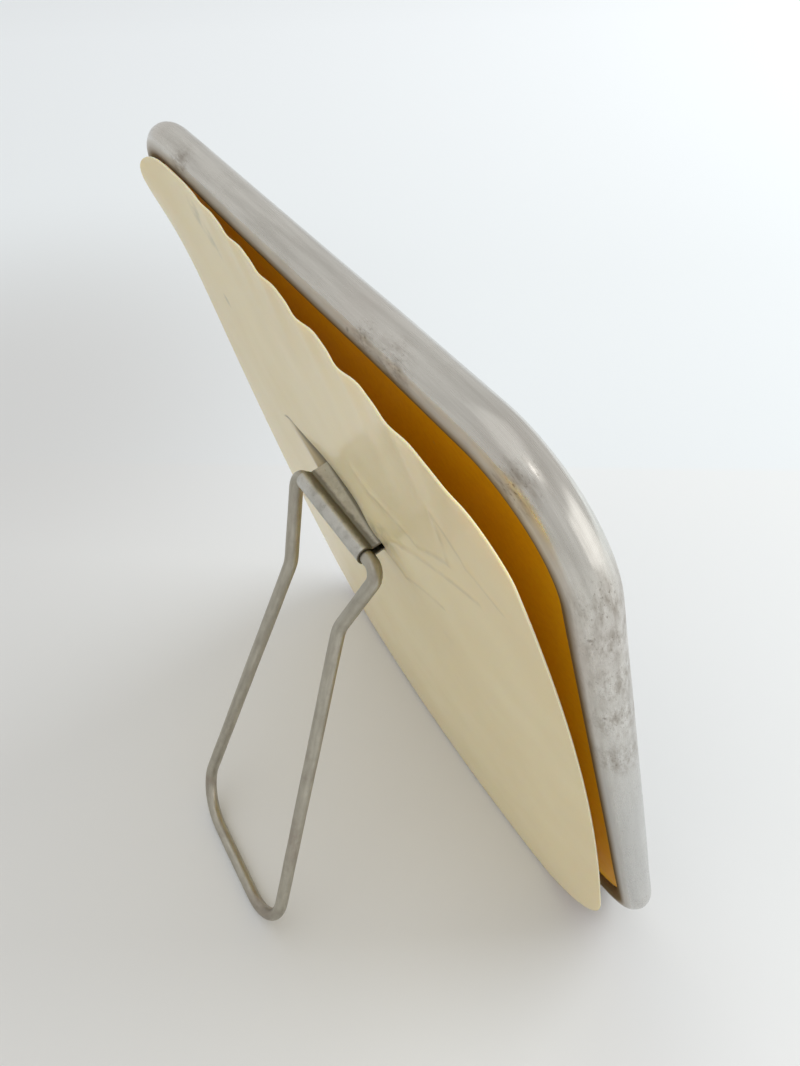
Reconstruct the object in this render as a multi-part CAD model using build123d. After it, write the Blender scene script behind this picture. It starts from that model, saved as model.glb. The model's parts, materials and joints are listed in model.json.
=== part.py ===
from build123d import *
import math
import os

# An easel-back shaving mirror. A bevelled glass plate, its silvering, a cushion paper and a
# pressboard back are held in a rim bent from slit metal tube. A cream celluloid sheet covers
# the back. It has shrunk and sprung out of the rim, so it now bows away from the board.
# A folded metal bracket stands out through a slit in the sheet and holds a wire stand.
#
# Every piece is first drawn in the mirror's own frame: X across, Y up the glass from the rim's
# outer bottom edge, and Z forward from the rim's middle plane. stand_up then leans it back.
# In the finished frame +Z is up, the glass faces -Y and the stand is on the +Y side.

# ---- rim: slit tube bent round the glass ----
WIDTH = 152.4
HEIGHT = 176.8
CORNER_RADIUS = 22.2
RIM_DIAMETER = 7.9
RIM_WALL = 0.5
RIM_JOINT_GAP = 0.2
SLEEVE_LENGTH = 24.0
SLEEVE_WALL = 0.4
LEAN_DEGREES = 12.3

# ---- flat stack inside the rim, from the back to the front ----
STACK_INSET = 2.0
BOARD_BACK = -2.3
BOARD_THICKNESS = 1.0
CUSHION_THICKNESS = 0.95
SILVERING_THICKNESS = 0.1
GLASS_THICKNESS = 2.7
BEVEL_WIDTH = 12.0
BEVEL_DEPTH = 1.4

# ---- loose celluloid sheet on the back ----
SHEET_HALF_WIDTH = 71.8
SHEET_BOTTOM = 3.5
SHEET_TOP = 174.9
# Corner radii, by the signs of X and Y.
SHEET_CORNERS = {(1, 1): 24.7, (-1, 1): 8.9, (-1, -1): 25.3, (1, -1): 14.0}
SHEET_THICKNESS = 0.35
SHEET_STRETCH = 1.06
# How far the sheet stands behind the rim, at its -X edge, its middle and its +X edge.
SHEET_LIFT_BOTTOM = (7.95, 9.15, 4.8)
SHEET_LIFT_MIDDLE = (2.9, 4.7, 3.25)
SHEET_LIFT_TOP = (6.4, 3.1, 0.9)
TEAR_END = 34.0
TEAR_WIDTH = 0.4

# ---- bracket that carries the wire ----
HINGE_HEIGHT = 114.9
HINGE_STANDOFF = 9.5
BRACKET_CENTRE = -0.1
BRACKET_HALF_LENGTH = 13.9
STRIP_THICKNESS = 0.45
STRIP_GAP = 1.0
NECK_FILLET = 0.6
TAIL_LENGTH = 7.0
ANCHOR_HALF_LENGTH = 18.0
ANCHOR_HALF_WIDTH = 10.0
ANCHOR_THICKNESS = 0.4
SLOT_CLEARANCE = 0.1
WINDOW_CLEARANCE = 0.5

# ---- wire stand ----
WIRE_DIAMETER = 3.2
WIRE_CLEARANCE = 0.05
WIRE_BUTT_GAP = 0.8
STAND_LENGTH = 117.75
# The stand sits a little to one side in the barrel, and its foot further still.
STAND_SHIFT = -1.0
FOOT_SHIFT = -1.6
SHOULDER_HALF_WIDTH = 18.6
SHOULDER_RADIUS = 2.7
WAIST_HALF_WIDTH = 11.7
WAIST_DROP = 20.6
WAIST_RADIUS = 8.0
FOOT_HALF_WIDTH = 24.9
FOOT_RADIUS = 12.0

rim_radius = RIM_DIAMETER / 2
wire_radius = WIRE_DIAMETER / 2
board_front = BOARD_BACK + BOARD_THICKNESS
cushion_front = board_front + CUSHION_THICKNESS
glass_back = cushion_front + SILVERING_THICKNESS
glass_front = glass_back + GLASS_THICKNESS
hinge_z = -rim_radius - HINGE_STANDOFF
leaf_outer = STRIP_GAP / 2 + STRIP_THICKNESS
lean = math.radians(LEAN_DEGREES)

# The hinge's place once the mirror leans back, before it is centred from front to back.
hinge_back = (HINGE_HEIGHT - rim_radius) * math.sin(lean) - hinge_z * math.cos(lean)
hinge_up = rim_radius + (HINGE_HEIGHT - rim_radius) * math.cos(lean) + hinge_z * math.sin(lean)
# The wire's foot rests on the table, which sets how far the stand is swung out.
stand_angle = math.acos((hinge_up - wire_radius) / STAND_LENGTH)
foot_back = hinge_back + STAND_LENGTH * math.sin(stand_angle)
centre_shift = -(foot_back + wire_radius - rim_radius) / 2

stand_up = Pos(0, centre_shift, rim_radius) * Rot(90 - LEAN_DEGREES, 0, 0) * Pos(0, -rim_radius, 0)
swing_out = Pos(0, centre_shift + hinge_back, hinge_up) * Rot(90 + math.degrees(stand_angle), 0, 0)


def box_between(low, high):
    """A block from its lowest corner to its highest corner."""
    size = [high[i] - low[i] for i in range(3)]
    middle = [(high[i] + low[i]) / 2 for i in range(3)]
    return Pos(*middle) * Box(*size)


def plate(inset, back, front):
    """A flat plate of the mirror's outline, a steady distance inside the rim's outer edge."""
    outline = RectangleRounded(WIDTH - 2 * inset, HEIGHT - 2 * inset, CORNER_RADIUS - inset)
    return extrude(Pos(0, HEIGHT / 2, back) * outline, front - back)


def slot_through(half_length, half_width, back, front):
    """A straight slot behind the bracket, to be cut out of a sheet or board."""
    low = (BRACKET_CENTRE - half_length, HINGE_HEIGHT - half_width, back)
    high = (BRACKET_CENTRE + half_length, HINGE_HEIGHT + half_width, front)
    return box_between(low, high)


def make_glass():
    """The mirror plate, with a wide shallow bevel ground round its front."""
    glass = plate(STACK_INSET, glass_back, glass_front)
    front = glass.faces().sort_by(Axis.Z)[-1]
    return chamfer(front.edges(), length=BEVEL_WIDTH, length2=BEVEL_DEPTH, reference=front)


def make_silvering():
    return plate(STACK_INSET, cushion_front, glass_back)


def make_cushion():
    """Soft paper between the silvering and the board, with a window for the anchor plate."""
    window = slot_through(
        ANCHOR_HALF_LENGTH + WINDOW_CLEARANCE,
        ANCHOR_HALF_WIDTH + WINDOW_CLEARANCE,
        board_front,
        cushion_front,
    )
    return plate(STACK_INSET, board_front, cushion_front) - window


def make_board():
    """The pressboard back, slotted for the bracket's two leaves."""
    slot = slot_through(
        BRACKET_HALF_LENGTH + SLOT_CLEARANCE,
        leaf_outer + SLOT_CLEARANCE,
        BOARD_BACK,
        board_front,
    )
    return plate(STACK_INSET, BOARD_BACK, board_front) - slot


def rim_path(inset):
    """The rim's route, from its joint at the bottom middle, round once, and back to it."""
    x = WIDTH / 2 - inset
    low = inset
    high = HEIGHT - inset
    half_gap = RIM_JOINT_GAP / 2
    corners = [
        (half_gap, low, 0),
        (x, low, 0),
        (x, high, 0),
        (-x, high, 0),
        (-x, low, 0),
        (-half_gap, low, 0),
    ]
    return FilletPolyline(*corners, radius=CORNER_RADIUS - inset)


def make_rim(stack):
    """Tube bent to the outline. The stack opens its slit, so both lips grip what they touch."""
    section = Circle(rim_radius) - Circle(rim_radius - RIM_WALL)
    start = Plane(origin=(RIM_JOINT_GAP / 2, rim_radius, 0), z_dir=(1, 0, 0))
    tube = sweep(start * section, path=rim_path(rim_radius))
    for piece in stack:
        tube = tube - piece
    return tube


def make_sleeve():
    """A curved tongue inside the rim, which bridges the joint at the bottom."""
    outer = Circle(rim_radius - RIM_WALL)
    inner = Circle(rim_radius - RIM_WALL - SLEEVE_WALL)
    middle = Plane(origin=(-SLEEVE_LENGTH / 2, rim_radius, 0), z_dir=(1, 0, 0))
    tube = extrude(middle * (outer - inner), SLEEVE_LENGTH)
    keep = box_between((-SLEEVE_LENGTH, 0, -rim_radius), (SLEEVE_LENGTH, STACK_INSET, rim_radius))
    return tube & keep


def bow(start, middle, end, stretch=1.0):
    """Control values of a parabola through three evenly spaced values, run on past its ends."""
    tilt = (end - start) / 2 * stretch
    curve = ((end + start) / 2 - middle) * stretch**2
    return (middle - tilt + curve, middle - curve, middle + tilt + curve)


def make_back_sheet():
    """A thin sheet bowed both ways, trimmed to its outline and slit for the bracket."""
    lifts = (SHEET_LIFT_BOTTOM, SHEET_LIFT_MIDDLE, SHEET_LIFT_TOP)
    rows = [bow(*row, SHEET_STRETCH) for row in lifts]
    columns = [bow(*column, SHEET_STRETCH) for column in zip(*rows)]
    middle_y = (SHEET_BOTTOM + SHEET_TOP) / 2
    half_x = SHEET_HALF_WIDTH * SHEET_STRETCH
    half_y = (SHEET_TOP - SHEET_BOTTOM) / 2 * SHEET_STRETCH
    points = [
        [
            Vector(i * half_x, middle_y + j * half_y, -rim_radius - columns[i + 1][j + 1])
            for j in (-1, 0, 1)
        ]
        for i in (-1, 0, 1)
    ]
    sheet = thicken(Face.make_bezier_surface(points), SHEET_THICKNESS / 2, both=True)
    width, height = 2 * SHEET_HALF_WIDTH, SHEET_TOP - SHEET_BOTTOM
    outline = Rectangle(width, height)
    for (side_x, side_y), radius in SHEET_CORNERS.items():
        corner = (side_x * width / 2, side_y * height / 2, 0)
        outline = fillet(outline.vertices().sort_by_distance(corner)[0], radius)
    reach = 3 * HINGE_STANDOFF
    cutter = extrude(Pos(0, middle_y, -reach) * outline, 2 * reach)
    slot = slot_through(
        BRACKET_HALF_LENGTH + SLOT_CLEARANCE, leaf_outer + SLOT_CLEARANCE, -reach, reach
    )
    tear = box_between(
        (0, HINGE_HEIGHT + leaf_outer - TEAR_WIDTH, -reach),
        (TEAR_END, HINGE_HEIGHT + leaf_outer, reach),
    )
    return (cutter & sheet) - slot - tear


def make_bracket():
    """A folded strip: a barrel round the wire, two leaves, and tails bent flat on the anchor."""
    bore = wire_radius + WIRE_CLEARANCE
    tail_back = board_front + ANCHOR_THICKNESS
    tail_front = tail_back + STRIP_THICKNESS
    leaf_height = tail_front - hinge_z
    # The section is drawn with its own x up the glass and its own y forward from the hinge.
    barrel = Circle(bore + STRIP_THICKNESS)
    leaves = Pos(0, leaf_height / 2) * Rectangle(2 * leaf_outer, leaf_height)
    section = barrel + leaves
    necks = [
        corner
        for corner in section.vertices()
        if 0 < corner.Y < 2 * bore
    ]
    section = fillet(necks, radius=NECK_FILLET)
    throat = Pos(0, leaf_height / 2) * Rectangle(STRIP_GAP, leaf_height)
    tails = Pos(0, leaf_height - STRIP_THICKNESS / 2) * Rectangle(2 * TAIL_LENGTH, STRIP_THICKNESS)
    section = section + tails - throat - Circle(bore)
    end = (BRACKET_CENTRE - BRACKET_HALF_LENGTH, HINGE_HEIGHT, hinge_z)
    across = Plane(origin=end, x_dir=(0, 1, 0), z_dir=(1, 0, 0))
    return extrude(across * section, 2 * BRACKET_HALF_LENGTH)


def make_anchor_plate():
    """A thin plate in front of the board, which spreads the pull of the bracket's tails."""
    front = board_front + ANCHOR_THICKNESS
    body = slot_through(ANCHOR_HALF_LENGTH, ANCHOR_HALF_WIDTH, board_front, front)
    slot = slot_through(
        BRACKET_HALF_LENGTH + SLOT_CLEARANCE, leaf_outer + SLOT_CLEARANCE, board_front, front
    )
    return body - slot


def make_wire_stand():
    """One wire bent into a waisted loop, its two ends butting inside the bracket's barrel."""
    half = [
        (WIRE_BUTT_GAP / 2, 0),
        (SHOULDER_HALF_WIDTH, 0),
        (WAIST_HALF_WIDTH, -WAIST_DROP),
        (FOOT_HALF_WIDTH, -STAND_LENGTH),
    ]
    loop = half + [(-x, y) for x, y in reversed(half)]
    points = [(x + STAND_SHIFT - y / STAND_LENGTH * FOOT_SHIFT, y) for x, y in loop]
    bends = [SHOULDER_RADIUS, WAIST_RADIUS, FOOT_RADIUS]
    route = FilletPolyline(*points, radius=bends + bends[::-1])
    start = Plane(origin=(points[0][0], 0, 0), z_dir=(1, 0, 0))
    return sweep(start * Circle(wire_radius), path=route)


def build():
    glass = make_glass()
    silvering = make_silvering()
    cushion = make_cushion()
    board = make_board()
    stack = [plate(STACK_INSET, BOARD_BACK, glass_back), glass]
    leaning = {
        "rim": make_rim(stack),
        "rim_joint_sleeve": make_sleeve(),
        "mirror_glass": glass,
        "mirror_silvering": silvering,
        "cushion_paper": cushion,
        "backing_board": board,
        "back_sheet": make_back_sheet(),
        "stand_bracket": make_bracket(),
        "bracket_anchor_plate": make_anchor_plate(),
    }
    nodes = {name: stand_up * shape for name, shape in leaning.items()}
    nodes["wire_stand"] = swing_out * make_wire_stand()
    return nodes


os.makedirs("parts", exist_ok=True)
for name, shape in build().items():
    export_step(shape, f"parts/{name}.step")
print("hinge axis at y", round(centre_shift + hinge_back, 3), "z", round(hinge_up, 3))
print("stand swung out from upright by", round(math.degrees(stand_angle), 2), "degrees")
print("shift from front to back", round(centre_shift, 3))
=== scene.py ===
"""An easel-back shaving mirror on a pale floor, seen from behind and above.

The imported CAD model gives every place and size. This script builds fine meshes for the rim, the
glass and its silvering, the warped back sheet, the bracket and the wire stand, and gives every
piece a procedural material.
"""

import json
import math

import bpy
from mathutils import Matrix, Vector, noise


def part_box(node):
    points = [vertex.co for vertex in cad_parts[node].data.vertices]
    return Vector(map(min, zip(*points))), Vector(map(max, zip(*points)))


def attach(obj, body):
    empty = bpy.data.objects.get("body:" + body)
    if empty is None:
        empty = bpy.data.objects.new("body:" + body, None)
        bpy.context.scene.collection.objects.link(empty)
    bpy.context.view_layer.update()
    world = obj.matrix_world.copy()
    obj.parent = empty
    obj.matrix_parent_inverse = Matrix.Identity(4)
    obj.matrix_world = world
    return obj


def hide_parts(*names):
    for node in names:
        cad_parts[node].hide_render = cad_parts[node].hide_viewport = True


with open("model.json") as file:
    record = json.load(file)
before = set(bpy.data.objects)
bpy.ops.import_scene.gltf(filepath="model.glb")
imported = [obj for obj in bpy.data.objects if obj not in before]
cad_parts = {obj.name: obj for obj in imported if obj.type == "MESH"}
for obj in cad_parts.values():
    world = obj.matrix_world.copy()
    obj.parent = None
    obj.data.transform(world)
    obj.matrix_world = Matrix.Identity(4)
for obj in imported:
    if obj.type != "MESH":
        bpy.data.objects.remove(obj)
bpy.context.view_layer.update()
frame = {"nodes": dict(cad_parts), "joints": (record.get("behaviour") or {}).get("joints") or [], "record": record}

# The noise that makes the metal a little uneven is the same on each run.
noise.seed_set(12)

MM = 0.001

# ---- the mirror's own frame: across, up the glass from the rim's bottom edge, and forward ----
RIM_RADIUS = 3.95 * MM
mounts = {mount["name"]: mount for mount in frame["record"]["mounts"]}
ACROSS = Vector((1, 0, 0))
FORWARD = Vector(mounts["mirror_face"]["axis"]).normalized()
UP = FORWARD.cross(ACROSS)
rim_low, rim_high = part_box("rim")
BASE = Vector((0, rim_low.y + RIM_RADIUS, RIM_RADIUS))
WIDTH = rim_high.x - rim_low.x
HEIGHT = (rim_high.z - 2 * RIM_RADIUS) / UP.z + 2 * RIM_RADIUS
CORNER_RADIUS = 22.2 * MM

# ---- the stand's own frame: across, and down the leg from the hinge to the foot ----
HINGE = Vector(frame["joints"][0]["pos_m"])
FOOT = Vector(mounts["hanging_loop"]["pos_m"])
LEG = Vector((0, FOOT.y, FOOT.z)) - HINGE
LEG_LENGTH = LEG.length
DOWN_LEG = LEG.normalized()


def place(x, y, z):
    """A point of the mirror's own frame, in the row frame."""
    return BASE + ACROSS * x + UP * (y - RIM_RADIUS) + FORWARD * z


def mirror_coordinates(point):
    """The inverse of place."""
    offset = point - BASE
    return offset.dot(ACROSS), offset.dot(UP) + RIM_RADIUS, offset.dot(FORWARD)


# ------------------------------------------------------------------------------------ meshes


def new_piece(name, points, faces, flow=None, smooth=True):
    """A mesh object. flow gives each face corner its place on the surface, in metres."""
    mesh = bpy.data.meshes.new(name)
    mesh.from_pydata([tuple(p) for p in points], [], faces)
    if flow is not None:
        layer = mesh.uv_layers.new(name="flow")
        corners = [pair for face in flow for pair in face]
        layer.data.foreach_set("uv", [value for pair in corners for value in pair])
    for polygon in mesh.polygons:
        polygon.use_smooth = smooth
    mesh.validate()
    mesh.update()
    piece = bpy.data.objects.new(name, mesh)
    bpy.context.scene.collection.objects.link(piece)
    return piece


def rounded_route(corners, radii, step):
    """Points and directions along straight runs joined by tangent arcs."""
    points, directions = [], []

    def run(start, end, direction, last):
        count = max(1, round((end - start).length / step))
        for i in range(count + (1 if last else 0)):
            points.append(start.lerp(end, i / count))
            directions.append(direction.copy())

    leave = corners[0]
    for i in range(1, len(corners) - 1):
        before = (corners[i] - corners[i - 1]).normalized()
        after = (corners[i + 1] - corners[i]).normalized()
        turn = before.angle(after)
        radius = radii[i - 1]
        cut = radius * math.tan(turn / 2)
        inward = (after - before * math.cos(turn)).normalized()
        enter = corners[i] - before * cut
        run(leave, enter, before, False)
        centre = enter + inward * radius
        count = max(6, round(turn * radius / step))
        for k in range(count):
            angle = turn * k / count
            points.append(centre + (before * math.sin(angle) - inward * math.cos(angle)) * radius)
            directions.append(before * math.cos(angle) + inward * math.sin(angle))
        leave = corners[i] + after * cut
    run(leave, corners[-1], (corners[-1] - leave).normalized(), True)
    return points, directions


def lengths_along(points):
    total, result = 0.0, [0.0]
    for a, b in zip(points, points[1:]):
        total += (b - a).length
        result.append(total)
    return result


def sweep(route, section, side):
    """A closed section of (out, side) offsets, swept along a flat route."""
    points, directions = route
    along = lengths_along(points)
    count = len(section)
    around = lengths_along([Vector(p) for p in section + section[:1]])
    vertices, faces, flow = [], [], []
    for point, direction in zip(points, directions):
        out = direction.cross(side).normalized()
        vertices += [point + out * a + side * b for a, b in section]
    for i in range(len(points) - 1):
        for j in range(count):
            k = (j + 1) % count
            faces.append((i * count + j, (i + 1) * count + j, (i + 1) * count + k, i * count + k))
            flow.append(
                (
                    (along[i], around[j]),
                    (along[i + 1], around[j]),
                    (along[i + 1], around[j + 1]),
                    (along[i], around[j + 1]),
                )
            )
    return vertices, faces, flow, count


def wander(point, size, strength, seed):
    """A smooth small push, the same each run."""
    return noise.noise_vector((point + Vector((seed, seed * 0.7, 0))) / size) * strength


def parabola(values, t):
    """The parabola through three values at -1, 0 and 1."""
    start, middle, end = values
    return middle + (end - start) / 2 * t + ((end + start) / 2 - middle) * t * t


def hump(x, centre, width):
    return math.exp(-(((x - centre) / width) ** 2))


# ---- rim ----

RIM_WALL = 0.5 * MM
BACK_LIP_ANGLE = math.radians(-141)
FRONT_LIP_ANGLE = math.radians(148.5)
JOINT_HALF_GAP = 0.1 * MM


def rim_section():
    """The slit tube's section, as (out, forward) offsets, with rolled edges to both lips."""
    middle = RIM_RADIUS - RIM_WALL / 2

    def arc(radius, start, end, count):
        angles = [start + (end - start) * i / count for i in range(count + 1)]
        return [(radius * math.cos(a), radius * math.sin(a)) for a in angles]

    def lip(angle, sign):
        centre = Vector((math.cos(angle), math.sin(angle))) * middle
        radial = centre.normalized()
        onward = Vector((-radial.y, radial.x)) * sign
        turns = [math.pi * i / 6 for i in range(1, 6)]
        return [
            tuple(centre + (radial * math.cos(t) + onward * math.sin(t)) * RIM_WALL / 2)
            for t in turns
        ]

    outer = arc(RIM_RADIUS, BACK_LIP_ANGLE, FRONT_LIP_ANGLE, 56)
    inner = arc(RIM_RADIUS - RIM_WALL, FRONT_LIP_ANGLE, BACK_LIP_ANGLE, 32)
    return outer + lip(FRONT_LIP_ANGLE, 1) + inner + lip(BACK_LIP_ANGLE, -1)[::-1]


def make_rim():
    x = WIDTH / 2 - RIM_RADIUS
    low, high = RIM_RADIUS, HEIGHT - RIM_RADIUS
    outline = [
        (JOINT_HALF_GAP, low), (x, low), (x, high), (-x, high), (-x, low), (-JOINT_HALF_GAP, low)
    ]
    corners = [place(a, b, 0) for a, b in outline]
    route = rounded_route(corners, [CORNER_RADIUS - RIM_RADIUS] * 4, 2.0 * MM)
    vertices, faces, flow, count = sweep(route, rim_section(), FORWARD)
    last = len(vertices) - count
    # Each cut end is closed between the outer and the inner wall.
    for start, flip in ((0, False), (last, True)):
        for j in range(count // 2 - 1):
            a, b = j, j + 1
            c, d = count - 2 - j, count - 1 - j
            quad = [start + k for k in (a, b, c, d)]
            faces.append(tuple(reversed(quad)) if flip else tuple(quad))
            flow.append(((0, 0),) * 4)
    piece = new_piece("rim_tube", vertices, faces, flow)
    for vertex in piece.data.vertices:
        vertex.co += wander(vertex.co, 26 * MM, 0.09 * MM, 3.1)
    return piece


# ---- glass and silvering ----

STACK_INSET = 2.0 * MM
GLASS_BACK = -0.25 * MM
GLASS_FRONT = 2.45 * MM
BEVEL_WIDTH = 12.0 * MM
BEVEL_DEPTH = 1.4 * MM
SILVERING_BACK = -0.35 * MM
SILVERING_GAP = 0.01 * MM


def rounded_ring(inset, depth):
    """Points round a rounded rectangle, this far in from the rim's outer edge."""
    x, low, high = WIDTH / 2 - CORNER_RADIUS, CORNER_RADIUS, HEIGHT - CORNER_RADIUS
    radius = CORNER_RADIUS - inset
    steps = 32
    ring = []
    for index, (a, b) in enumerate([(x, high), (-x, high), (-x, low), (x, low)]):
        for i in range(steps + 1):
            angle = math.pi / 2 * (index + i / steps)
            ring.append(place(a + radius * math.cos(angle), b + radius * math.sin(angle), depth))
    return ring


def make_plate(name, levels):
    """A flat-sided plate through rounded rectangles, each at an inset and a depth."""
    rings = [rounded_ring(inset, depth) for inset, depth in levels]
    points = [point for ring in rings for point in ring]
    count = len(rings[0])
    last = len(points) - count
    faces = [
        (row + j, row + (j + 1) % count, row + count + (j + 1) % count, row + count + j)
        for row in range(0, last, count)
        for j in range(count)
    ]
    faces += [tuple(reversed(range(count))), tuple(range(last, last + count))]
    return new_piece(name, points, faces, smooth=False)


def make_glass():
    """The mirror plate, with its wide shallow bevel."""
    edge, bevel = STACK_INSET, STACK_INSET + BEVEL_WIDTH
    levels = [(edge, GLASS_BACK), (edge, GLASS_FRONT - BEVEL_DEPTH), (bevel, GLASS_FRONT)]
    return make_plate("bevelled_glass", levels)


def make_silvering():
    front = GLASS_BACK - SILVERING_GAP
    return make_plate("silver_coat", [(STACK_INSET, SILVERING_BACK), (STACK_INSET, front)])


# ---- wire stand ----

WIRE_RADIUS = 1.6 * MM
SHOULDER = (18.6 * MM, 0.0)
WAIST = (11.7 * MM, 20.6 * MM)
FOOT_HALF_WIDTH = 24.9 * MM
BUTT_HALF_GAP = 0.4 * MM
WIRE_BENDS = [2.7 * MM, 8.0 * MM, 12.0 * MM]
# The stand sits a little to one side in the barrel, and its foot further still.
STAND_SHIFT = -1.0 * MM
FOOT_SHIFT = FOOT.x - STAND_SHIFT


def make_wire():
    half = [(BUTT_HALF_GAP, 0.0), SHOULDER, WAIST, (FOOT_HALF_WIDTH, LEG_LENGTH)]
    loop = half + [(-a, b) for a, b in reversed(half)]
    outline = [(a + STAND_SHIFT + b / LEG_LENGTH * FOOT_SHIFT, b) for a, b in loop]
    corners = [HINGE + ACROSS * a + DOWN_LEG * b for a, b in outline]
    route = rounded_route(corners, WIRE_BENDS + WIRE_BENDS[::-1], 1.2 * MM)
    side = ACROSS.cross(DOWN_LEG).normalized()
    count = 24
    circle = [2 * math.pi * j / count for j in range(count)]
    ring = [(WIRE_RADIUS * math.cos(a), WIRE_RADIUS * math.sin(a)) for a in circle]
    vertices, faces, flow, count = sweep(route, ring, side)
    last = len(vertices) - count
    faces.append(tuple(range(count)))
    faces.append(tuple(reversed(range(last, last + count))))
    flow += [((0, 0),) * count] * 2
    piece = new_piece("stand_wire", vertices, faces, flow)
    for vertex in piece.data.vertices:
        reach = abs((vertex.co - HINGE).dot(DOWN_LEG)) / LEG_LENGTH
        loose = min(1.0, reach * 6)
        vertex.co += wander(vertex.co, 9 * MM, 0.06 * MM, 1.7) * loose
    return piece


# ---- bracket ----

STRIP = 0.45 * MM
STRIP_GAP = 1.0 * MM
BORE = 1.65 * MM
BRACKET_LOW = -14.0 * MM
BRACKET_HIGH = 13.8 * MM
TAIL_LENGTH = 7.0 * MM
TAIL_FORWARD = 12.775 * MM
TAIL_BEND = 0.5 * MM
NECK_BEND = 0.7 * MM
# At the -X end the two leaves stand apart, most at this depth, over this reach.
SPLAY_DEPTH = 3.4 * MM
SPLAY_REACH = 5.0 * MM
UPPER_SPLAY = 0.3 * MM
LOWER_SPLAY = -0.85 * MM


def bracket_line():
    """The folded strip's middle line, as (up, forward) offsets from the hinge."""
    leaf = (STRIP_GAP + STRIP) / 2
    barrel = BORE + STRIP / 2
    neck_y = math.sqrt((barrel + NECK_BEND) ** 2 - (leaf + NECK_BEND) ** 2)
    neck_x = -(leaf + NECK_BEND)

    def arc(centre, radius, start, end, count):
        result = []
        for i in range(count + 1):
            angle = math.radians(start + (end - start) * i / count)
            result.append(
                Vector((centre[0] + radius * math.cos(angle), centre[1] + radius * math.sin(angle)))
            )
        return result

    tilt = math.degrees(math.atan2(neck_y, neck_x))
    tail = [Vector((-TAIL_LENGTH, TAIL_FORWARD)), Vector((-leaf - 3 * TAIL_BEND, TAIL_FORWARD))]
    turn = arc((-leaf - TAIL_BEND, TAIL_FORWARD - TAIL_BEND), TAIL_BEND, 90, 0, 5)
    neck = arc((neck_x, neck_y), NECK_BEND, 0, tilt - 180, 5)
    half_barrel = arc((0, 0), barrel, tilt, 270, 18)
    left = tail + turn + neck + half_barrel[1:]
    right = [Vector((-p.x, p.y)) for p in reversed(left[:-1])]
    return left + right


def make_bracket():
    line = bracket_line()
    normals = []
    for i in range(len(line)):
        ahead = line[min(i + 1, len(line) - 1)] - line[max(i - 1, 0)]
        normals.append(Vector((-ahead.y, ahead.x)).normalized())
    outer = [p - n * STRIP / 2 for p, n in zip(line, normals)]
    inner = [p + n * STRIP / 2 for p, n in zip(line, normals)]
    loop = outer + inner[::-1]
    count, rows = len(loop), 31
    around = lengths_along([Vector(p) for p in loop + loop[:1]])
    vertices, faces, flow = [], [], []
    for i in range(rows):
        x = BRACKET_LOW + (BRACKET_HIGH - BRACKET_LOW) * i / (rows - 1)
        open_end = hump(x, BRACKET_LOW, SPLAY_REACH)
        for p in loop:
            splay = UPPER_SPLAY if p.x > 0 else LOWER_SPLAY
            splay *= open_end * hump(p.y, SPLAY_DEPTH, SPLAY_DEPTH / 2)
            vertices.append(HINGE + ACROSS * x + UP * (p.x + splay) + FORWARD * p.y)
    for i in range(rows - 1):
        for j in range(count):
            k = (j + 1) % count
            faces.append((i * count + j, i * count + k, (i + 1) * count + k, (i + 1) * count + j))
            low = (BRACKET_HIGH - BRACKET_LOW) * i / (rows - 1)
            high = (BRACKET_HIGH - BRACKET_LOW) * (i + 1) / (rows - 1)
            flow.append(
                ((low, around[j]), (low, around[j + 1]), (high, around[j + 1]), (high, around[j]))
            )
    for start, flip in ((0, True), ((rows - 1) * count, False)):
        for j in range(len(line) - 1):
            quad = [start + k for k in (j, j + 1, count - 2 - j, count - 1 - j)]
            faces.append(tuple(reversed(quad)) if flip else tuple(quad))
            flow.append(((0, 0),) * 4)
    piece = new_piece("bracket_strip", vertices, faces, flow)
    for vertex in piece.data.vertices:
        vertex.co += wander(vertex.co, 7 * MM, 0.05 * MM, 5.3)
    bevel = piece.modifiers.new("edges", "BEVEL")
    bevel.width = 0.1 * MM
    bevel.segments = 2
    bevel.limit_method = "ANGLE"
    bevel.angle_limit = math.radians(50)
    return piece


# ---- back sheet ----

SHEET_HALF_WIDTH = 71.8 * MM
SHEET_BOTTOM = 3.5 * MM
SHEET_TOP = 174.9 * MM
# Corner radii, from the +X top corner round by the -X top, the -X bottom and the +X bottom.
SHEET_CORNERS = (24.7 * MM, 8.9 * MM, 25.3 * MM, 14.0 * MM)
SHEET_THICKNESS = 0.35 * MM
# How far the sheet stands behind the rim at -X, the middle and +X, on each of three rows.
SHEET_LIFTS = (
    (7.95 * MM, 9.16 * MM, 4.79 * MM),
    (2.86 * MM, 4.69 * MM, 3.26 * MM),
    (6.42 * MM, 3.08 * MM, -1.24 * MM),
)
# The +X top corner curls back on top of that.
CURL = 4.26 * MM
CURL_REACH = 21.1 * MM
SLIT_LOW = BRACKET_LOW - 0.15 * MM
SLIT_HIGH = BRACKET_HIGH + 0.15 * MM
SLIT_HALF_WIDTH = 1.05 * MM
TEAR_END = 34.0 * MM
TEAR_WIDTH = 0.35 * MM
SLIT_UP = mirror_coordinates(HINGE)[1]
SLIT_TOP = SLIT_UP + SLIT_HALF_WIDTH
# Creases run from the slit's -X end towards the -X top corner: chains of places, in millimetres.
CREASE_CHAINS = (
    ((-10, 134), (-16, 132), (-33, 133), (-47, 143), (-49, 158), (-55, 151), (-63, 149)),
    ((-15, 119), (-23, 122.5), (-43, 134.5), (-54, 140)),
    ((-15, 113), (-19, 108), (-34, 114)),
)
CREASES = [
    (Vector(start), Vector(end))
    for chain in CREASE_CHAINS
    for start, end in zip(chain, chain[1:])
]
CREASE_HEIGHT = 0.17 * MM
CREASE_WIDTH = 1.1 * MM
CRUMPLE_HEIGHT = 0.35 * MM
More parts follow.
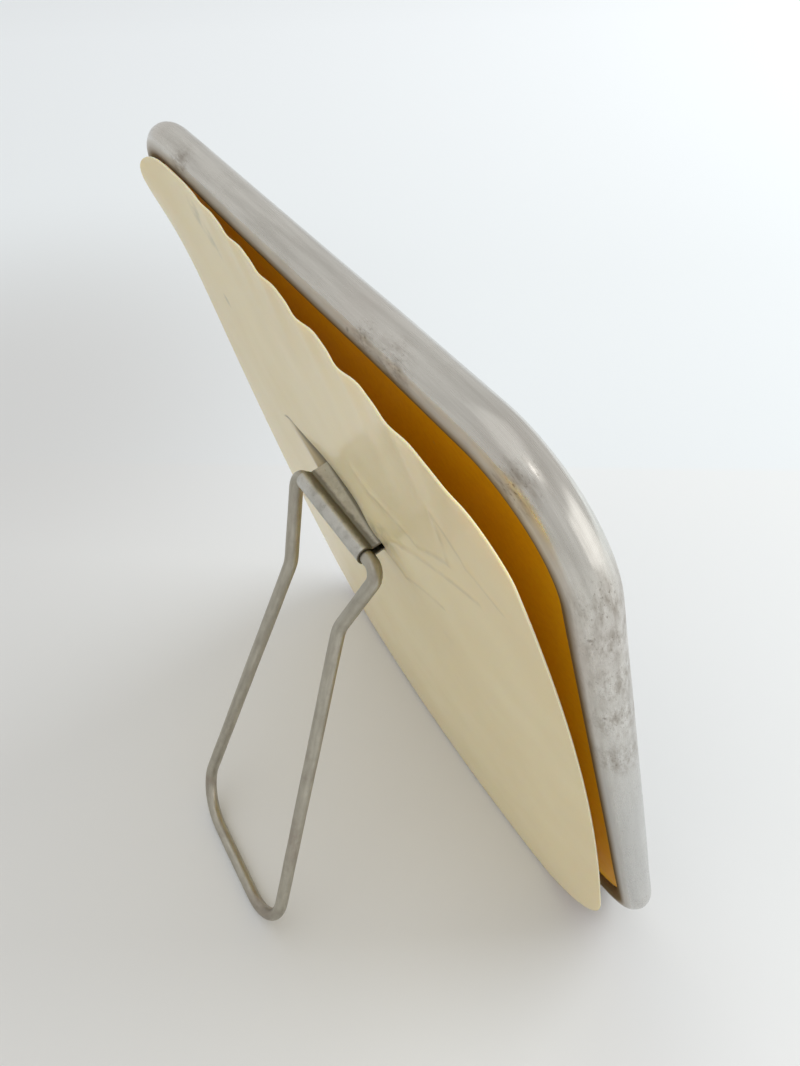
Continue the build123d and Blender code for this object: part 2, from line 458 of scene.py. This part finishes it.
# The sheet bulges at the slit's -X end. Beside the tear its upper lip is sunk, its lower lip raised.
BULGE = 1.5 * MM
UPPER_LIP_DIP = 0.6 * MM
LOWER_LIP_RISE = 1.85 * MM


def from_line(point, start, end):
    """How far a point is from a straight stretch."""
    run = end - start
    share = max(0.0, min(1.0, (point - start).dot(run) / run.length_squared))
    return (point - start - run * share).length


def ripple(x):
    """The scalloped top edge: uneven waves, strongest left of the middle."""
    turn = 2 * math.pi * (x + 17 * MM) / (14.6 * MM)
    strength = 0.36 * hump(x, -30 * MM, 26 * MM) + 0.2 * hump(x, 12 * MM, 20 * MM)
    return (math.cos(turn) + 0.25 * math.cos(2 * turn + 0.9)) * strength * MM


def lip_lift(x, y):
    """The bulge at the slit's -X end, and the two lips beside the tear."""
    away = abs(y - SLIT_TOP)
    bulge = BULGE * hump(x, -12 * MM, 8 * MM) * hump(away, 0, 12 * MM)
    if y > SLIT_TOP - TEAR_WIDTH / 2:
        return bulge - UPPER_LIP_DIP * hump(x, 14 * MM, 13 * MM) * math.exp(-away / (15 * MM))
    rise = 1 - 1.6 * hump(away - TEAR_WIDTH, 0, 1.0 * MM)
    return bulge + LOWER_LIP_RISE * hump(x, 12 * MM, 12 * MM) * rise * math.exp(-away / (17 * MM))


def crease_lift(x, y):
    """The creases, and a fine crumple at the slit's -X end."""
    lift = 0.0
    for start, end in CREASES:
        apart = from_line(Vector((x, y)), start * MM, end * MM)
        lift += CREASE_HEIGHT * hump(apart, 0, CREASE_WIDTH)
    strength = hump(x, -18 * MM, 5 * MM) * hump(y, SLIT_UP + 1 * MM, 5 * MM)
    return lift + CRUMPLE_HEIGHT * strength * noise.noise(Vector((x, y * 0.6, 0)) / (2.2 * MM))


def sheet_lift(x, y):
    """How far the sheet stands behind the rim."""
    middle_y = (SHEET_BOTTOM + SHEET_TOP) / 2
    across = x / SHEET_HALF_WIDTH
    up = (y - middle_y) / (SHEET_TOP - middle_y)
    lift = parabola([parabola(row, across) for row in SHEET_LIFTS], up)
    lift += ripple(x) * math.exp(-(SHEET_TOP - y) / (9 * MM))
    from_corner = math.hypot(x - SHEET_HALF_WIDTH, y - SHEET_TOP)
    lift += CURL * hump(from_corner, 0, CURL_REACH)
    return lift + lip_lift(x, y) + crease_lift(x, y)


def on_sheet(x, y):
    """A point of the sheet's middle surface, in the row frame."""
    return place(x, y, -RIM_RADIUS - sheet_lift(x, y))


def loop_through(points, spacing):
    """Evenly spaced points along an open chain of straight runs."""
    result = []
    for a, b in zip(points, points[1:]):
        count = max(1, round((b - a).length / spacing))
        result += [a.lerp(b, i / count) for i in range(count)]
    return result


def sheet_outline():
    """The sheet's edge in three parts: beside the upper lip, the closed end and the lower lip."""
    edge, low, high = SHEET_HALF_WIDTH, SHEET_BOTTOM, SHEET_TOP
    middle = (low + high) / 2

    def corner(index, side, top):
        radius = SHEET_CORNERS[index]
        centre = Vector((side * (edge - radius), high - radius if top else low + radius))
        angles = [math.radians(90 * index + 90 * i / 20) for i in range(21)]
        return [centre + Vector((math.cos(a), math.sin(a))) * radius for a in angles]

    upper = [Vector((edge, middle))] + corner(0, 1, True) + corner(1, -1, True)
    left = [upper[-1], Vector((-edge, low + SHEET_CORNERS[2]))]
    lower = corner(2, -1, False) + corner(3, 1, False) + [Vector((edge, middle))]
    return [loop_through(part, 1.15 * MM) for part in (upper, left, lower)]


def slit_outline():
    """The slit's edge in the same three parts. It runs on as a tear towards +X."""
    low = SLIT_UP - SLIT_HALF_WIDTH
    tip = Vector((TEAR_END, SLIT_TOP - TEAR_WIDTH / 2))
    upper = [tip, Vector((TEAR_END - 1.5 * MM, SLIT_TOP)), Vector((SLIT_LOW, SLIT_TOP))]
    left = [upper[-1], Vector((SLIT_LOW - 0.2 * MM, low - 0.9 * MM))]
    lower = [left[-1], Vector((SLIT_LOW + 7 * MM, low)), Vector((SLIT_HIGH, low))]
    notch = SLIT_TOP - TEAR_WIDTH
    lower += [Vector((SLIT_HIGH + 0.3 * MM, notch)), Vector((TEAR_END - 1.5 * MM, notch)), tip]
    return upper, left, lower


def share_out(chain, count):
    """count points at even steps along a chain, its last point left off."""
    along = lengths_along(chain)
    result, j = [], 0
    for i in range(count):
        reach = along[-1] * i / count
        while along[j + 1] < reach:
            j += 1
        span = along[j + 1] - along[j]
        result.append(chain[j].lerp(chain[j + 1], (reach - along[j]) / span))
    return result


def make_sheet():
    outer, inner = [], []
    for edge_part, slit_part in zip(sheet_outline(), slit_outline()):
        outer += edge_part
        inner += share_out(slit_part, len(edge_part))
    rings, count = 66, len(outer)
    shares = [0.5 - 0.5 * math.cos(math.pi * k / rings) for k in range(rings + 1)]
    grid = [a.lerp(b, share) for share in shares for a, b in zip(inner, outer)]
    vertices = [on_sheet(p.x, p.y) for p in grid]
    faces, flow = [], []
    for i in range(rings):
        for j in range(count):
            k = (j + 1) % count
            quad = (i * count + j, (i + 1) * count + j, (i + 1) * count + k, i * count + k)
            faces.append(quad)
            flow.append(tuple((grid[q].x, grid[q].y) for q in quad))
    piece = new_piece("celluloid_sheet", vertices, faces, flow)
    thick = piece.modifiers.new("thickness", "SOLIDIFY")
    thick.thickness = SHEET_THICKNESS
    thick.offset = 0
    thick.material_offset_rim = 1
    return piece


# --------------------------------------------------------------------------------- materials


class Recipe:
    """A material being built: nodes are added, and fed by values or by other nodes' outputs."""

    def __init__(self, name, **uniform):
        self.material = bpy.data.materials.new(name)
        self.material.use_nodes = True
        self.tree = self.material.node_tree
        self.shader = self.tree.nodes["Principled BSDF"]
        for socket, value in uniform.items():
            self.shader.inputs[socket.replace("_", " ")].default_value = value

    def add(self, kind, settings=None, **inputs):
        node = self.tree.nodes.new("ShaderNode" + kind)
        for name, value in (settings or {}).items():
            setattr(node, name, value)
        for name, value in inputs.items():
            self.feed(node.inputs[name.replace("_", " ")], value)
        return node

    def feed(self, socket, value):
        if isinstance(value, bpy.types.NodeSocket):
            self.tree.links.new(value, socket)
        else:
            socket.default_value = value

    def give(self, name, value):
        self.feed(self.shader.inputs[name], value)

    def place(self):
        return self.add("TexCoord").outputs["Object"]

    def flow(self, along=1.0, around=1.0):
        """Place on a swept surface, in millimetres along and around it."""
        source = self.add("UVMap", {"uv_map": "flow"}).outputs["UV"]
        scale = (along * 1000, around * 1000, 1)
        return self.add("Mapping", Vector=source, Scale=scale).outputs["Vector"]

    def noise(self, where, scale, detail=4.0, roughness=0.55):
        return self.add(
            "TexNoise", Vector=where, Scale=scale, Detail=detail, Roughness=roughness
        ).outputs["Fac"]

    def spots(self, where, scale):
        return self.add("TexVoronoi", Vector=where, Scale=scale).outputs["Distance"]

    def band(self, value, low, high, to_low=0.0, to_high=1.0):
        """value, stretched so that low..high becomes to_low..to_high, and held there."""
        return self.add(
            "MapRange", {"clamp": True},
            Value=value, From_Min=low, From_Max=high, To_Min=to_low, To_Max=to_high,
        ).outputs["Result"]

    def sum(self, operation, a, b):
        node = self.add("Math", {"operation": operation})
        self.feed(node.inputs[0], a)
        self.feed(node.inputs[1], b)
        return node.outputs[0]

    def blend(self, share, first, second):
        node = self.add("Mix", {"data_type": "RGBA"})
        self.feed(node.inputs["Factor"], share)
        self.feed(node.inputs[6], (*first, 1) if isinstance(first, tuple) else first)
        self.feed(node.inputs[7], (*second, 1) if isinstance(second, tuple) else second)
        return node.outputs[2]

    def along(self, where, direction, start):
        """How far a place is along a direction, from a starting point, in millimetres."""
        node = self.add("VectorMath", {"operation": "DOT_PRODUCT"})
        self.feed(node.inputs[0], where)
        node.inputs[1].default_value = direction * 1000
        return self.sum("SUBTRACT", node.outputs["Value"], direction.dot(start) * 1000)

    def near(self, where, spots):
        """1 at the given spots of the mirror's own frame, fading to 0 at each one's reach."""
        result = 0.0
        for spot, reach in spots:
            apart = self.add("VectorMath", {"operation": "DISTANCE"})
            self.feed(apart.inputs[0], where)
            apart.inputs[1].default_value = place(*(value * MM for value in spot))
            fade = self.band(apart.outputs["Value"], reach * 0.3 * MM, reach * MM, 1.0, 0.0)
            result = self.sum("MAXIMUM", fade, result)
        return result

    def around(self, where, centre, reach, strength):
        """strength at a spot, easing to 0 at its reach, in metres."""
        apart = self.add("VectorMath", {"operation": "DISTANCE"})
        self.feed(apart.inputs[0], where)
        apart.inputs[1].default_value = centre
        return self.add(
            "MapRange", {"clamp": True, "interpolation_type": "SMOOTHERSTEP"},
            Value=apart.outputs["Value"], From_Min=0.0, From_Max=reach, To_Min=strength, To_Max=0.0,
        ).outputs["Result"]

    def beside(self, where, start, end):
        """How far a place is from a straight stretch, in metres."""
        run = end - start
        offset = self.add("VectorMath", {"operation": "SUBTRACT"})
        self.feed(offset.inputs[0], where)
        offset.inputs[1].default_value = start
        share = self.add("VectorMath", {"operation": "DOT_PRODUCT"})
        self.feed(share.inputs[0], offset.outputs["Vector"])
        share.inputs[1].default_value = run / run.length_squared
        reached = self.add("VectorMath", {"operation": "SCALE"})
        reached.inputs[0].default_value = run
        self.feed(reached.inputs["Scale"], self.band(share.outputs["Value"], 0.0, 1.0))
        apart = self.add("VectorMath", {"operation": "DISTANCE"})
        self.feed(apart.inputs[0], offset.outputs["Vector"])
        self.feed(apart.inputs[1], reached.outputs["Vector"])
        return apart.outputs["Value"]

    def bump(self, height, strength, distance, normal=None):
        node = self.add("Bump", Height=height, Strength=strength, Distance=distance)
        if normal is not None:
            self.feed(node.inputs["Normal"], normal)
        return node.outputs["Normal"]


# Where the nickel is worn: a spot in the mirror's own frame and its reach, in millimetres.
WORN = (
    ((-77.0, 158.0, 0.0), 7.0),
    ((-77.0, 149.0, 0.8), 8.0),
    ((-77.0, 138.0, 0.8), 8.5),
    ((-77.0, 126.0, 0.6), 9.0),
    ((-77.0, 112.0, 0.0), 9.0),
    ((-64.5, 173.0, -3.4), 5.0),
    ((-38.0, 174.0, -4.2), 6.0),
    ((-30.0, 174.5, -4.0), 4.0),
    ((42.0, 176.0, -3.6), 5.0),
)
# The lower -X bar is painted darker and greyer below those patches: painted shade.
LOWER_BAR_SHADE = (
    ((-77.0, 62.0, 0.0), 75.0),
)
# Single dark specks.
SPECKS = (
    ((-33.5, 175.6, -3.5), 0.5),
    ((-25.6, 174.2, -3.9), 0.55),
    ((-75.0, 151.0, -2.9), 0.6),
    ((-75.2, 128.0, -2.7), 0.5),
)


def nickel_colour(r, where, haze, smear, pitting):
    """Nickel's own tones, then painted shade on the lower -X bar, tarnish and pitting."""
    streaks = r.noise(r.flow(0.035, 0.55), 1.0, 4.0, 0.6)
    cloud = r.noise(where, 42.0, 5.0)
    grain = r.noise(r.flow(0.9, 2.2), 1.0, 4.0, 0.65)
    tone = r.blend(r.band(streaks, 0.36, 0.64), (0.555, 0.535, 0.495), (0.69, 0.67, 0.625))
    dulled = r.blend(r.band(haze, 0.5, 0.7, 0.0, 0.3), tone, (0.50, 0.475, 0.43))
    tinted = r.blend(r.band(cloud, 0.5, 0.7, 0.0, 0.3), dulled, (0.60, 0.545, 0.50))
    # Painted shade: the lower -X bar is darker and greyer.
    bar_shaded = r.blend(r.sum("MULTIPLY", r.near(where, LOWER_BAR_SHADE), 0.6), tinted, (0.47, 0.475, 0.465))
    tarnished = r.blend(r.sum("MULTIPLY", smear, 0.68), bar_shaded, (0.31, 0.27, 0.225))
    grained = r.blend(
        r.sum("MULTIPLY", r.sum("MULTIPLY", smear, r.band(grain, 0.5, 0.66)), 0.5),
        tarnished,
        (0.22, 0.19, 0.155),
    )
    return r.blend(r.sum("MULTIPLY", pitting, 0.6), grained, (0.16, 0.13, 0.10))


def nickel_plate():
    """Worn nickel: satin, streaked along the tube, with stained and finely pitted patches, and painted shade on
    the lower -X bar and beside the back lip.
    """
    r = Recipe("nickel_plate")
    where = r.place()
    lines = r.noise(r.flow(0.06, 1.0), 5.0, 3.0)
    haze = r.noise(where, 130.0, 5.0, 0.65)
    patch = r.near(where, WORN)
    stain = r.band(r.noise(r.flow(0.22, 0.75), 1.0, 6.0, 0.7), 0.42, 0.62)
    smear = r.sum("MULTIPLY", patch, stain)
    dots = r.noise(r.flow(1.6, 2.6), 1.0, 2.0)
    pits = r.sum("MULTIPLY", r.band(dots, 0.60, 0.70), patch)
    stray = r.sum("MAXIMUM", r.near(where, SPECKS), r.band(dots, 0.80, 0.84))
    pitting = r.sum("MAXIMUM", pits, stray)
    worn = nickel_colour(r, where, haze, smear, pitting)
    # The metal is duller and less metallic where the tube turns in towards its back lip. Nearest that lip its
    # colour is painted dark olive-brown: painted shade and a painted reflection of the amber board.
    turned = r.add("SeparateXYZ")
    r.feed(turned.inputs["Vector"], r.flow())
    inward = r.band(turned.outputs["Y"], 4.8, 6.2, 1.0, 0.0)
    # Painted shade and painted amber reflection nearest the back lip.
    lip_shade_and_reflection = r.band(turned.outputs["Y"], 2.9, 4.7, 0.95, 0.0)
    r.give("Base Color", r.blend(lip_shade_and_reflection, worn, (0.17, 0.105, 0.02)))
    r.give("Metallic", r.band(inward, 0.0, 1.0, 1.0, 0.15))
    gloss = r.band(r.sum("ADD", lines, haze), 0.8, 1.2, 0.20, 0.30)
    dull = r.sum("ADD", r.sum("MULTIPLY", inward, 0.65), r.sum("MULTIPLY", smear, 0.15))
    r.give("Roughness", r.sum("ADD", gloss, dull))
    fine = r.bump(lines, 0.10, 0.00005)
    r.give("Normal", r.bump(pitting, 0.2, -0.00003, fine))
    return r.material


def dull_wire():
    """Oxidised wire: grey, streaked along its length, with faint brown patches."""
    r = Recipe("dull_wire", Metallic=1.0)
    where = r.place()
    streaks = r.noise(r.flow(0.12, 0.8), 1.0, 4.0, 0.6)
    mottle = r.noise(where, 420.0, 4.0, 0.6)
    cloud = r.noise(where, 90.0, 4.0)
    rust = r.band(r.noise(where, 60.0, 5.0, 0.6), 0.52, 0.68)
    tone = r.blend(r.band(streaks, 0.3, 0.7), (0.37, 0.345, 0.29), (0.50, 0.475, 0.405))
    speckled = r.blend(r.band(mottle, 0.45, 0.7, 0.0, 0.3), tone, (0.29, 0.265, 0.22))
    r.give("Base Color", r.blend(r.sum("MULTIPLY", rust, 0.4), speckled, (0.24, 0.17, 0.14)))
    r.give("Roughness", r.band(cloud, 0.3, 0.7, 0.32, 0.46))
    r.give("Normal", r.bump(mottle, 0.15, 0.00005))
    return r.material


# The bracket's leaf meets the sheet this deep in front of the hinge, at two places across.
LEAF_FOOT = [
    (x, mirror_coordinates(HINGE)[2] + RIM_RADIUS + sheet_lift(x, SLIT_TOP + 0.1 * MM))
    for x in (BRACKET_LOW + 3 * MM, BRACKET_HIGH - 2 * MM)
]


def bracket_metal():
    """Dull nickel with random grime, and painted shade along the barrel's neck, where the leaf meets the sheet and
    on its open end.
    """
    r = Recipe("bracket_metal", Metallic=1.0)
    where = r.place()
    lines = r.noise(r.flow(0.1, 1.0), 6.0, 3.0)
    cloud = r.noise(where, 130.0, 4.0)
    rough = r.noise(where, 330.0, 4.0, 0.65)
    grime = r.band(rough, 0.5, 0.68, 0.0, 0.3)
    depth = r.along(where, FORWARD, HINGE)
    # Painted shade in the valley along the barrel's neck.
    ragged = r.sum("ADD", depth, r.band(rough, 0.3, 0.7, -0.3, 0.3))
    into = r.band(ragged, 0.1, 0.9)
    out_of = r.band(ragged, 2.6, 3.2, 1.0, 0.0)
    valley_shade = r.sum("MULTIPLY", r.sum("MULTIPLY", into, out_of), 0.8)
    across = r.along(where, ACROSS, Vector((0, 0, 0)))
    # Painted shade along the line where the leaf meets the sheet.
    (low_x, low_foot), (high_x, high_foot) = LEAF_FOOT
    foot = r.add(
        "MapRange", {"clamp": False},
        Value=across, From_Min=low_x * 1000, From_Max=high_x * 1000,
        To_Min=-low_foot * 1000, To_Max=-high_foot * 1000,
    ).outputs["Result"]
    sheet_contact_shade = r.band(r.sum("SUBTRACT", depth, foot), -0.7, -0.2, 0.0, 0.85)
    # Painted shade on the open -X end.
    end = r.band(across, BRACKET_LOW * 1000 + 0.12, BRACKET_LOW * 1000 + 0.3, 0.95, 0.0)
    # Random grime and the painted shade, taken together.
    shade_and_grime = r.sum("MAXIMUM", r.sum("MAXIMUM", grime, valley_shade), r.sum("MAXIMUM", sheet_contact_shade, end))
    tone = r.blend(r.band(cloud, 0.35, 0.65), (0.50, 0.485, 0.44), (0.62, 0.605, 0.56))
    r.give("Base Color", r.blend(shade_and_grime, tone, (0.17, 0.155, 0.12)))
    gloss = r.band(lines, 0.3, 0.7, 0.26, 0.4)
    r.give("Roughness", r.sum("ADD", gloss, r.sum("MULTIPLY", valley_shade, 0.2)))
    r.give("Normal", r.bump(lines, 0.15, 0.00005))
    return r.material


def plain_steel():
    r = Recipe("plain_steel", Metallic=1.0)
    where = r.place()
    cloud = r.noise(where, 160.0, 4.0)
    r.give("Base Color", r.blend(cloud, (0.42, 0.41, 0.39), (0.56, 0.55, 0.53)))
    r.give("Roughness", r.band(cloud, 0.3, 0.7, 0.35, 0.5))
    return r.material


# Where the celluloid is smudged: a spot in the mirror's own frame and its reach, in millimetres.
SMUDGED = (
    ((34.5, 168.5, -5.4), 4.5),
    ((30.0, 164.5, -5.8), 4.0),
    ((45.0, 143.0, -6.0), 2.2),
    ((-16.5, 119.0, -9.6), 5.0),
    ((-13.0, 118.0, -9.6), 4.0),
)


def tear_shade(r, where):
    """Painted shade in the tear: a dark line along it, and a grey shaded band on the lip that stands up below it.
    """
    across = r.along(where, ACROSS, Vector((0, 0, 0)))
    below = r.along(where, -UP, place(0, SLIT_TOP, 0))
    on_tear = r.sum("MULTIPLY", r.band(across, 6.0, 11.0), r.band(across, 28.0, 34.0, 1.0, 0.0))
    tear_shade_line = r.sum("MULTIPLY", r.band(below, -0.05, 0.15), r.band(below, 0.7, 1.7, 1.0, 0.0))
    lower_lip_shade = r.sum("MULTIPLY", r.band(below, 0.2, 0.6), r.band(below, 1.6, 5.5, 0.5, 0.0))
    return r.sum("MULTIPLY", r.sum("MULTIPLY", r.sum("MAXIMUM", tear_shade_line, lower_lip_shade), on_tear), 0.85)


def crease_shade(r, where):
    """Faint, uneven painted shade along the creases."""
    crease_shade_band = 0.0
    for ends in CREASES:
        start, end = (on_sheet(*(spot * MM)) for spot in ends)
        beside = r.band(r.beside(where, start, end), 0.2 * MM, 1.0 * MM, 0.22, 0.0)
        crease_shade_band = r.sum("MAXIMUM", beside, crease_shade_band)
    uneven = r.band(r.noise(where, 110.0, 3.0), 0.36, 0.56, 0.3, 1.0)
    return r.sum("MULTIPLY", crease_shade_band, uneven)


def celluloid(name, cream, deep):
    """Aged cream celluloid: smooth, glossy, a little see-through, faintly stained, with painted shade in the tear
    and along the creases.
    """
    r = Recipe(
        name,
        Specular_IOR_Level=0.2,
        IOR=1.5,
        Coat_Weight=0.22,
        Coat_Roughness=0.10,
        Coat_IOR=1.4,
        Subsurface_Weight=0.9,
        Subsurface_Radius=(1.0, 0.75, 0.4),
        Subsurface_Scale=0.0008,
    )
    where = r.place()
    cloud = r.noise(where, 22.0, 4.0)
    tone = r.blend(r.band(cloud, 0.3, 0.7), cream, deep)
    stain = r.band(r.noise(where, 60.0, 6.0, 0.6), 0.66, 0.78)
    blotch = r.band(r.noise(where, 300.0, 4.0, 0.6), 0.36, 0.58)
    smudge = r.sum("MULTIPLY", r.near(where, SMUDGED), blotch)
    spread = r.sum("MAXIMUM", r.sum("MULTIPLY", stain, 0.10), r.sum("MULTIPLY", smudge, 0.55))
    stained = r.blend(spread, tone, (0.34, 0.33, 0.22))
    # Painted shade in the tear and along the creases.
    shade_and_grime = r.sum("MAXIMUM", tear_shade(r, where), crease_shade(r, where))
    r.give("Base Color", r.blend(shade_and_grime, stained, (0.13, 0.12, 0.095)))
    r.give("Roughness", r.band(r.noise(where, 45.0, 5.0), 0.3, 0.7, 0.32, 0.42))
    wave = r.noise(r.flow(0.006, 0.05), 1.0, 1.0)
    r.give("Normal", r.bump(wave, 0.08, 0.0008))
    return r.material


def amber_board():
    """Calendered pressboard: fine fibre, a slight shine and specks of dust, and a faint amber glow that is painted
    light lifting its shade.
    """
    r = Recipe(
        "amber_pressboard",
        Specular_IOR_Level=0.25,
        # Painted light: a faint amber glow, though the board is no lamp.
        Emission_Color=(1.0, 0.42, 0.0, 1.0),
        Emission_Strength=0.042,
    )
    where = r.place()
    fibre = r.noise(where, 900.0, 4.0)
    cloud = r.noise(where, 60.0, 4.0)
    tone = r.blend(r.band(cloud, 0.3, 0.7), (0.94, 0.50, 0.005), (1.0, 0.56, 0.01))
    grained = r.blend(r.band(fibre, 0.35, 0.65, 0.0, 0.35), tone, (0.78, 0.36, 0.004))
    dust = r.band(r.spots(where, 130.0), 0.03, 0.07, 1.0, 0.0)
    r.give("Base Color", r.blend(r.sum("MULTIPLY", dust, 0.4), grained, (0.6, 0.45, 0.25)))
    r.give("Roughness", r.band(cloud, 0.3, 0.7, 0.38, 0.5))
    r.give("Normal", r.bump(fibre, 0.2, 0.00005))
    return r.material


def cushion_fibre():
    r = Recipe("cushion_fibre", Roughness=0.95)
    where = r.place()
    fibre = r.noise(where, 500.0, 5.0)
    r.give("Base Color", r.blend(fibre, (0.30, 0.24, 0.17), (0.50, 0.42, 0.32)))
    r.give("Normal", r.bump(fibre, 0.5, 0.0002))
    return r.material


def silvering():
    """The mirror's reflecting coat, with faint age clouds."""
    r = Recipe("mirror_coat", Metallic=1.0)
    where = r.place()
    cloud = r.noise(where, 30.0, 4.0)
    r.give("Base Color", r.blend(r.band(cloud, 0.5, 0.75), (0.92, 0.93, 0.92), (0.80, 0.81, 0.79)))
    r.give("Roughness", r.band(cloud, 0.5, 0.8, 0.01, 0.03))
    return r.material


def plate_glass():
    """Clear polished glass, very faintly green, with a few wipe marks."""
    r = Recipe("plate_glass", Transmission_Weight=1.0, IOR=1.52, Roughness=0.0)
    where = r.place()
    cloud = r.noise(where, 14.0, 3.0)
    r.give("Base Color", r.blend(cloud, (0.93, 0.97, 0.95), (0.96, 0.985, 0.975)))
    r.give("Normal", r.bump(r.noise(where, 70.0, 3.0), 0.02, 0.00002))
    return r.material


def wear(piece, *materials):
    """The piece's only materials, in slot order."""
    piece.data.materials.clear()
    for material in materials:
        piece.data.materials.append(material)


# ------------------------------------------------------------------------------------- scene


def dress_frame():
    steel = plain_steel()
    wear(frame["nodes"]["rim_joint_sleeve"], steel)
    wear(frame["nodes"]["bracket_anchor_plate"], steel)
    wear(frame["nodes"]["cushion_paper"], cushion_fibre())
    wear(frame["nodes"]["backing_board"], amber_board())


def add_pieces():
    cream, deep = (0.83, 0.695, 0.42), (0.765, 0.63, 0.365)
    pieces = (
        (make_rim(), "mirror", "rim", "nickel_rim", [nickel_plate()]),
        (make_glass(), "mirror", "mirror_glass", "clear_glass", [plate_glass()]),
        (make_silvering(), "mirror", "mirror_silvering", "silvering", [silvering()]),
        (make_wire(), "stand", "wire_stand", "wire_steel", [dull_wire()]),
        (make_bracket(), "mirror", "stand_bracket", "bracket_steel", [bracket_metal()]),
        (
            make_sheet(),
            "mirror",
            "back_sheet",
            "cream_celluloid",
            [
                celluloid("cream_celluloid", cream, deep),
                # A lighter copy of the cream on the cut edge: a painted highlight.
                celluloid("cut_edge_highlight", (0.92, 0.80, 0.56), (0.86, 0.73, 0.48)),
            ],
        ),
    )
    for piece, body, node, slot, materials in pieces:
        wear(piece, *materials)
        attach(piece, body)
        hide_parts(node)


CAMERA_SPOT = Vector((-0.12289, 0.04312, 0.23712))
CAMERA_AIM = Vector((0.6215, -0.3149, -0.7173))
CAMERA_UP = Vector((0.5938, -0.4078, 0.6936))
CAMERA_LENS = 29.3

FLOOR_HALF = 2.5
# A faint join runs across the floor behind the mirror: its direction and its distance.
JOIN_NORMAL = Vector((0.8096, -0.5870, 0))
JOIN_DISTANCE = 0.1408


def pale_floor():
    """Plain pale paint, with painted light and shade: a little cooler and paler towards a faint join, paler and
    cooler still further past it, and two soft darker patches of painted shadow.
    """
    r = Recipe("pale_floor", Roughness=0.7)
    ahead = r.add("VectorMath", {"operation": "DOT_PRODUCT"})
    r.feed(ahead.inputs[0], r.place())
    ahead.inputs[1].default_value = JOIN_NORMAL
    reach = ahead.outputs["Value"]
    # Painted light: the floor grows paler and cooler towards the join and beyond.
    near_tone = r.band(reach, JOIN_DISTANCE - 0.40, JOIN_DISTANCE - 0.08)
    near = r.blend(near_tone, (0.80, 0.795, 0.785), (0.815, 0.825, 0.83))
    beyond = r.band(reach, JOIN_DISTANCE - 0.0015, JOIN_DISTANCE + 0.0015)
    far_light = r.band(reach, 0.30, 0.72)
    far = r.blend(far_light, (0.80, 0.83, 0.85), (0.885, 0.915, 0.945))
    tone = r.blend(beyond, near, far)
    # Painted shadow: two soft darker patches.
    shade = r.sum(
        "MAXIMUM",
        r.around(r.place(), (0.255, 0.062, 0), 0.27, 0.85),
        r.around(r.place(), (-0.083, -0.02, 0), 0.06, 0.4),
    )
    r.give("Base Color", r.blend(shade, tone, (0.61, 0.605, 0.60)))
    return r.material


def make_floor():
    count = 24
    points = [
        Vector((FLOOR_HALF * (2 * i / count - 1), FLOOR_HALF * (2 * j / count - 1), 0))
        for j in range(count + 1)
        for i in range(count + 1)
    ]
    row = count + 1
    faces = [
        (j * row + i, j * row + i + 1, (j + 1) * row + i + 1, (j + 1) * row + i)
        for j in range(count)
        for i in range(count)
    ]
    floor = new_piece("floor", points, faces)
    wear(floor, pale_floor())


def add_light(name, spot, target, size, power, colour, glossy=True, diffuse=True):
    """A soft rectangle of light. The glass never shows it."""
    data = bpy.data.lights.new(name, "AREA")
    data.shape = "RECTANGLE"
    data.size, data.size_y = size
    data.energy = power
    data.color = colour
    light = bpy.data.objects.new(name, data)
    light.location = spot
    light.rotation_euler = (Vector(target) - Vector(spot)).to_track_quat("-Z", "Y").to_euler()
    light.visible_glossy = glossy
    light.visible_diffuse = diffuse
    light.visible_transmission = False
    bpy.context.scene.collection.objects.link(light)


def light_studio():
    world = bpy.data.worlds.new("studio")
    world.use_nodes = True
    background = world.node_tree.nodes["Background"]
    background.inputs["Color"].default_value = (0.995, 0.99, 0.97, 1)
    background.inputs["Strength"].default_value = 0.70
    bpy.context.scene.world = world
    middle = (0, 0, 0.08)
    cool = (0.95, 0.985, 1.0)
    add_light("window", (-0.25, -1.1, 0.72), middle, (1.0, 0.85), 11, cool, glossy=False)
    add_light("ceiling", (0.1, 0.2, 1.7), middle, (1.8, 1.8), 2.5, cool)
    # These two only show in the metal: a soft window beside the mirror, and a lamp above it.
    add_light("pane", (-0.86, -0.60, 0.40), middle, (1.2, 0.8), 2.1, (1, 1, 1), diffuse=False)
    add_light("lamp", (-0.42, 0.04, 1.10), middle, (0.09, 0.09), 0.25, (1, 1, 1), diffuse=False)


def add_camera():
    data = bpy.data.cameras.new("camera")
    data.lens = CAMERA_LENS
    data.sensor_width = 36
    data.clip_start = 0.01
    camera = bpy.data.objects.new("camera", data)
    right = CAMERA_AIM.cross(CAMERA_UP).normalized()
    up = right.cross(CAMERA_AIM).normalized()
    turn = Matrix((right, up, -CAMERA_AIM.normalized())).transposed()
    camera.matrix_world = Matrix.Translation(CAMERA_SPOT) @ turn.to_4x4()
    bpy.context.scene.collection.objects.link(camera)
    bpy.context.scene.camera = camera


add_camera()
dress_frame()
add_pieces()
make_floor()
light_studio()
bpy.context.scene.view_settings.view_transform = "Standard"
